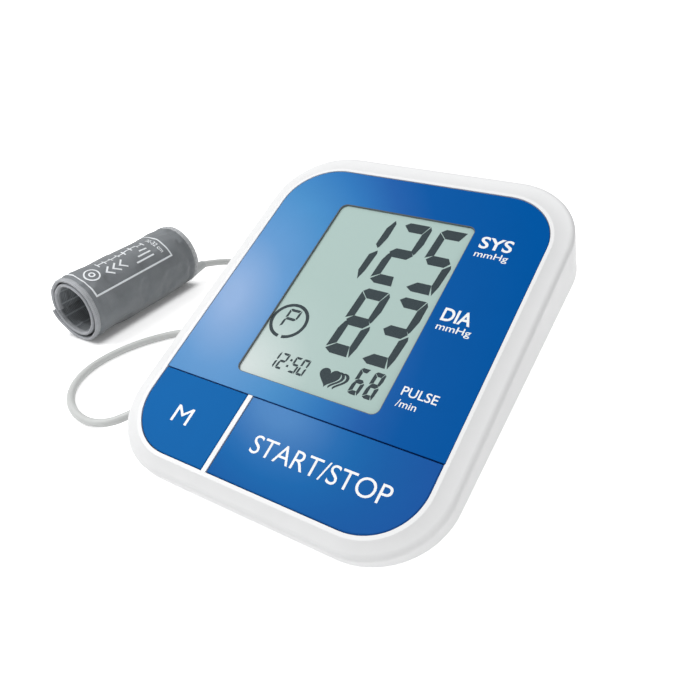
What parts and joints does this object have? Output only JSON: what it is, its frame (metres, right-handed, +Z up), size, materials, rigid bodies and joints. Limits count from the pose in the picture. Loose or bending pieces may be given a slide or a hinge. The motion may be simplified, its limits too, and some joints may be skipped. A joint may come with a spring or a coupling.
{
  "type": "upper-arm blood pressure monitor",
  "caption": "Wedge-shaped desktop blood pressure monitor with a tilted blue face, large display, two keys, a rolled arm cuff and its air hose.",
  "frame": {"origin": "on the resting plane, straight under the centre of the blue face", "axes": "+Z up from the table, +X to the user's right, +Y away from the user; the face leans back 25 degrees about X"},
  "size_m": [0.2248, 0.1648, 0.0785],
  "materials": {
    "white_housing": "gloss",
    "blue_face": "satin",
    "lens": "clear",
    "display_glass": "matt",
    "frame_plastic": "matt",
    "board": "satin",
    "chip": "matt",
    "foot_rubber": "matt",
    "zinc_steel": "satin",
    "spring_steel": "satin",
    "motor_can": "satin",
    "pump_plastic": "matt",
    "silicone_tube": "satin",
    "cell": "gloss",
    "hose_rubber": "satin",
    "plug_plastic": "satin",
    "grey_cloth": "woven",
    "binding_cloth": "woven",
    "bladder_rubber": "matt"
  },
  "bodies": {
    "monitor": {"top_shell": "white_housing", "bottom_shell": "white_housing", "rubber_feet": "foot_rubber", "case_screws": "zinc_steel", "face_panel": "blue_face", "display_lens": "lens", "display_glass": "display_glass", "display_holder": "frame_plastic", "circuit_board": "board", "board_screws": "zinc_steel", "switch_cases": "zinc_steel", "board_chips": "chip", "buzzer": "chip", "batteries": "cell", "contact_springs": "spring_steel", "contact_plates": "spring_steel", "pump_motor": "motor_can", "pump_head": "pump_plastic", "pump_cradle": "foot_rubber", "valve_body": "zinc_steel", "air_tee": "pump_plastic", "pressure_sensor": "chip", "inner_tubes": "silicone_tube", "air_socket": "plug_plastic", "hose_plug": "plug_plastic", "hose_device_run": "hose_rubber", "hose_coil": "hose_rubber", "hose_cuff_run": "hose_rubber", "cuff_cloth": "grey_cloth", "cuff_bladder": "bladder_rubber", "cuff_bindings": "binding_cloth", "hose_boot": "hose_rubber"},
    "start_key": {"start_stop_key": "blue_face"},
    "memory_key": {"memory_key": "blue_face"},
    "start_switch": {"start_plunger": "chip"},
    "memory_switch": {"memory_plunger": "chip"},
    "battery_door": {"battery_door": "white_housing"},
    "pump_crank": {"motor_shaft": "spring_steel"},
    "valve_core": {"valve_pin": "spring_steel"}
  },
  "joints": [
    {"name": "start_stop_press", "type": "slide", "parent": "monitor", "child": "start_key", "axis": [0, 0.4226, -0.9063], "range_m": [0, 0.0005], "stiffness_N_per_m": 600, "springref_m": -0.0008},
    {"name": "memory_press", "type": "slide", "parent": "monitor", "child": "memory_key", "axis": [0, 0.4226, -0.9063], "range_m": [0, 0.0005], "stiffness_N_per_m": 600, "springref_m": -0.0008},
    {"name": "start_switch_press", "type": "slide", "parent": "monitor", "child": "start_switch", "axis": [0, 0.4226, -0.9063], "range_m": [0, 0.0005]},
    {"name": "memory_switch_press", "type": "slide", "parent": "monitor", "child": "memory_switch", "axis": [0, 0.4226, -0.9063], "range_m": [0, 0.0005]},
    {"name": "battery_door_hinge", "type": "hinge", "parent": "monitor", "child": "battery_door", "pos_m": [0, 0.05255, 0.0018], "axis": [1, 0, 0], "range_deg": [0, 95]},
    {"name": "pump_spin", "type": "hinge", "parent": "monitor", "child": "pump_crank", "pos_m": [-0.018, 0.045, 0.034], "axis": [1, 0, 0], "continuous": true},
    {"name": "valve_slide", "type": "slide", "parent": "monitor", "child": "valve_core", "axis": [-1, 0, 0], "range_m": [0, 0.0008], "stiffness_N_per_m": 300, "springref_m": -0.001}
  ],
  "couplings": [
    {"joint": "start_switch_press", "follows": "start_stop_press", "ratio": 1},
    {"joint": "memory_switch_press", "follows": "memory_press", "ratio": 1}
  ]
}
